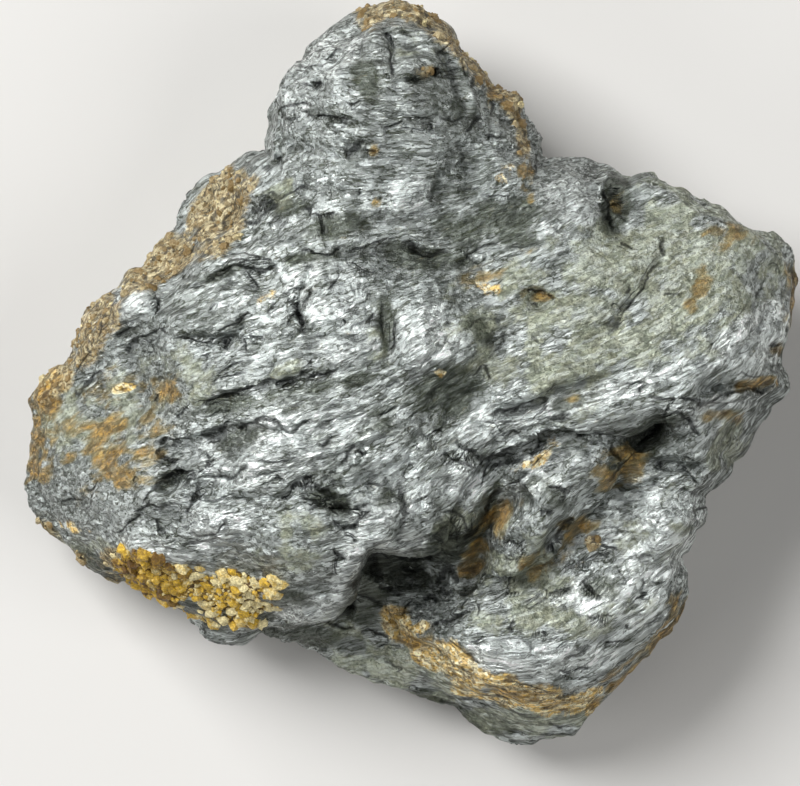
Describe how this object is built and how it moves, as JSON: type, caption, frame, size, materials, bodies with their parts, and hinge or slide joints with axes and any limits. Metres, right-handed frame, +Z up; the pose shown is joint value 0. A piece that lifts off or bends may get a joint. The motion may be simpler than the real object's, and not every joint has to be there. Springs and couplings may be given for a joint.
{
  "type": "graphite specimen",
  "caption": "lump of massive foliated graphite with ledges, folds and rusty crust, for display or study, resting on a flat patch on its underside",
  "frame": {"origin": "middle of the bounding box, on the surface that the stone rests on", "axes": "+Z up, away from the resting patch; +X and +Y lie in the surface below, +Y towards the narrow lobe"},
  "size_m": [0.0776, 0.0746, 0.031],
  "materials": {
    "graphite": "silvery metallic foliated stone with rust and ochre crust"
  },
  "bodies": {
    "root": {"graphite_stone": "graphite"}
  },
  "joints": []
}
